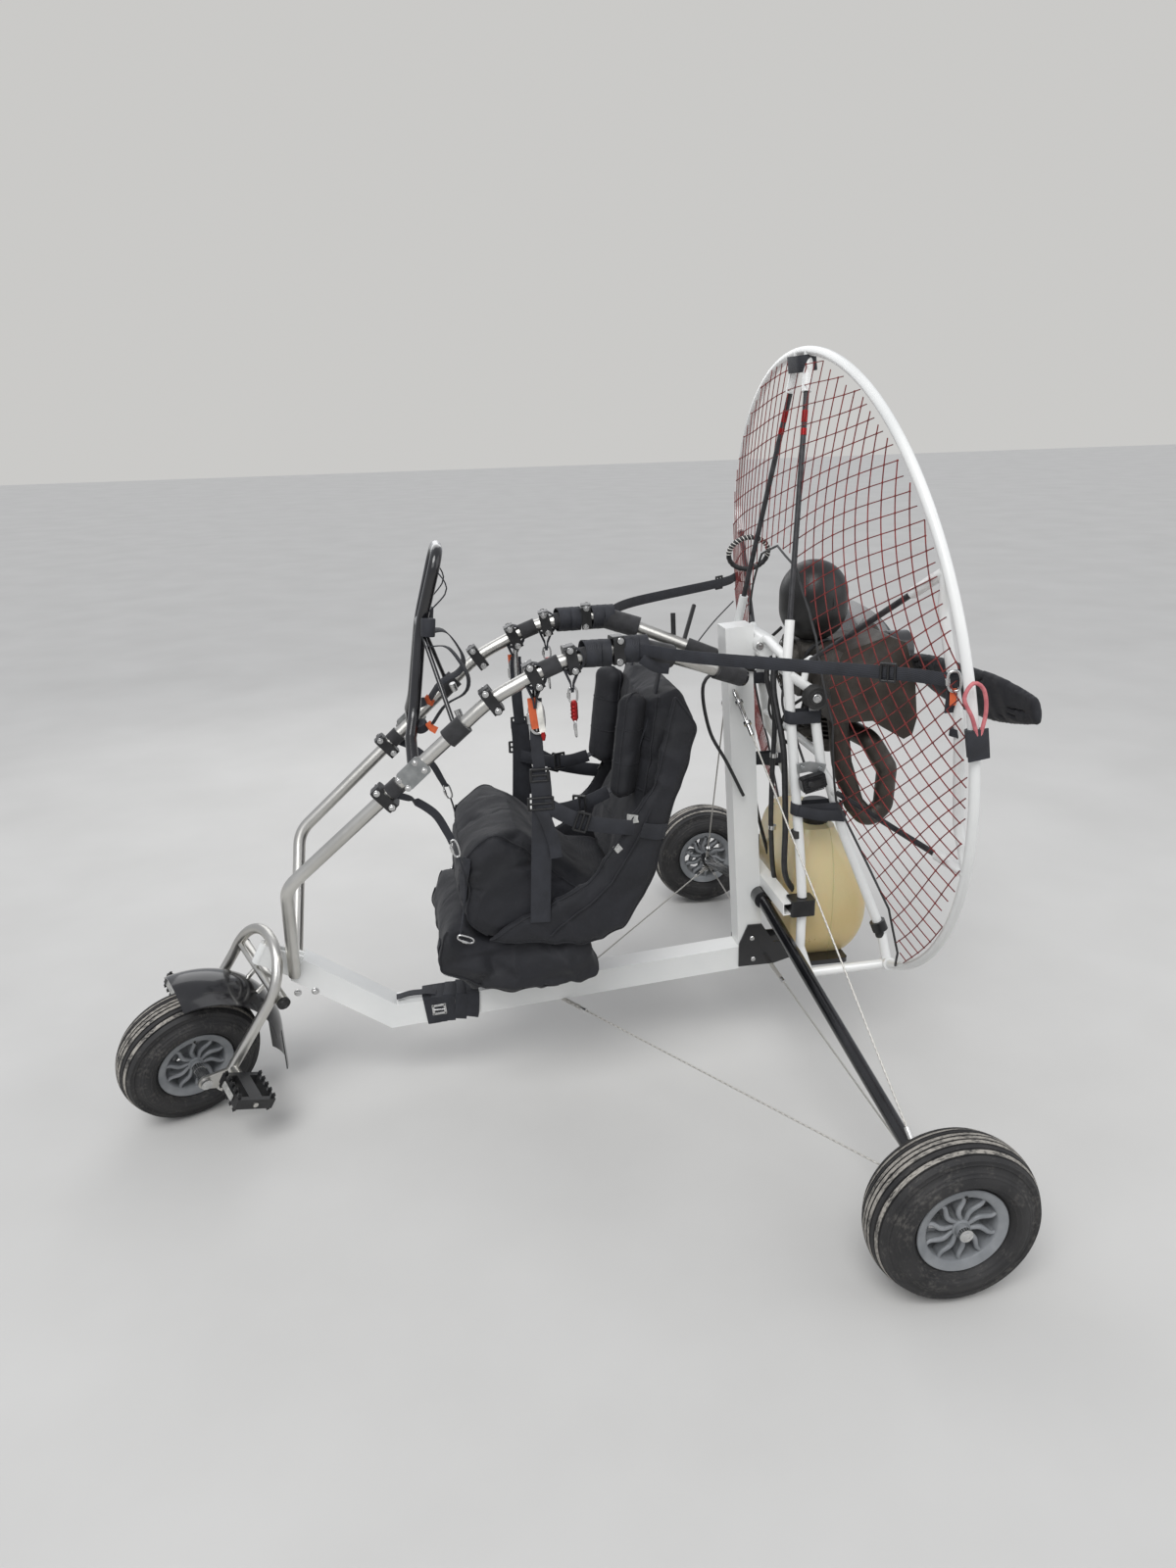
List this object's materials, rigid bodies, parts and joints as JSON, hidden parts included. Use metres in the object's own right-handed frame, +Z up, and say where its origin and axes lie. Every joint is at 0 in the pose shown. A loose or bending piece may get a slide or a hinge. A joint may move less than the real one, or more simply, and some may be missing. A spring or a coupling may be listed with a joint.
{
  "type": "paramotor trike",
  "caption": "Powered-paraglider trike: motor, cage and propeller on a wheeled frame with overhead bars, a hung harness seat and a foot-steered front fork.",
  "frame": {"origin": "on the floor, under the middle of the whole length and width", "axes": "+X forward, +Y to the pilot's left, +Z up"},
  "size_m": [1.9013, 1.8892, 1.6907],
  "materials": {
    "tyre": "matte",
    "rim": "satin",
    "white_paint": "gloss",
    "bare_steel": "brushed",
    "black_paint": "gloss",
    "black_plastic": "matte",
    "rubber": "matte",
    "black_fabric": "woven",
    "webbing": "woven",
    "tank": "translucent",
    "engine": "cast",
    "exhaust": "heat-stained",
    "airbox": "matte",
    "net": "knotted cord",
    "carbon": "satin",
    "blade": "gloss",
    "links": "polished",
    "foam": "foam",
    "grey_metal": "satin",
    "wire": "stranded"
  },
  "bodies": {
    "frame": {"mast": "white_paint", "keel": "white_paint", "steering_head": "white_paint", "overhead_bars": "bare_steel", "bar_yokes": "black_paint", "bar_clamps": "black_plastic", "front_hoop": "black_paint", "bar_sleeves": "foam", "hoop_plates": "grey_metal", "wire_stays": "wire", "axle_struts": "black_paint", "stub_axles": "links", "cross_tube": "white_paint", "cage_hoop": "white_paint", "motor_frame": "white_paint", "clamp_blocks": "black_plastic", "foot_plates": "black_paint", "fuel_tank": "tank", "tank_cap": "black_plastic", "cage_spars": "carbon", "cage_net": "net", "engine": "engine", "engine_mounts": "rubber", "airbox": "airbox", "exhaust": "exhaust", "seat_pan": "black_fabric", "seat_back": "black_fabric", "seat_bag": "black_fabric", "seat_sides": "black_fabric", "shoulder_pads": "black_fabric", "risers": "webbing", "hang_links": "links"},
    "fork": {"fork": "white_paint", "front_axle": "links", "mudguard": "black_plastic"},
    "front_wheel": {"tyre_front": "tyre", "rim_front": "rim"},
    "left_wheel": {"tyre_left": "tyre", "rim_left": "rim"},
    "right_wheel": {"tyre_right": "tyre", "rim_right": "rim"},
    "left_pedal": {"pedal_left": "black_plastic"},
    "right_pedal": {"pedal_right": "black_plastic"},
    "propeller": {"propeller": "blade", "blade_cover": "black_fabric"}
  },
  "joints": [
    {"name": "steering", "type": "hinge", "parent": "frame", "child": "fork", "pos_m": [0.60509, 0, 0.38783], "axis": [-0.4695, 0, 0.8829], "range_deg": [-60, 0]},
    {"name": "front_wheel_spin", "type": "hinge", "parent": "fork", "child": "front_wheel", "pos_m": [0.7934, 0.035, 0.16279], "axis": [-0.4415, 0.866, -0.2347], "continuous": true},
    {"name": "left_wheel_spin", "type": "hinge", "parent": "frame", "child": "left_wheel", "pos_m": [-0.69527, 0.882, 0.165], "axis": [0, 1, 0], "continuous": true},
    {"name": "right_wheel_spin", "type": "hinge", "parent": "frame", "child": "right_wheel", "pos_m": [-0.69527, -0.882, 0.165], "axis": [0, 1, 0], "continuous": true},
    {"name": "propeller_spin", "type": "hinge", "parent": "frame", "child": "propeller", "pos_m": [-0.92527, 0, 1.02], "axis": [1, 0, 0], "continuous": true},
    {"name": "left_pedal_spin", "type": "hinge", "parent": "fork", "child": "left_pedal", "pos_m": [0.64721, 0.17769, 0.13558], "axis": [-0.4415, 0.866, -0.2347], "continuous": true},
    {"name": "right_pedal_spin", "type": "hinge", "parent": "fork", "child": "right_pedal", "pos_m": [0.81895, -0.15919, 0.22689], "axis": [-0.4415, 0.866, -0.2347], "continuous": true}
  ]
}
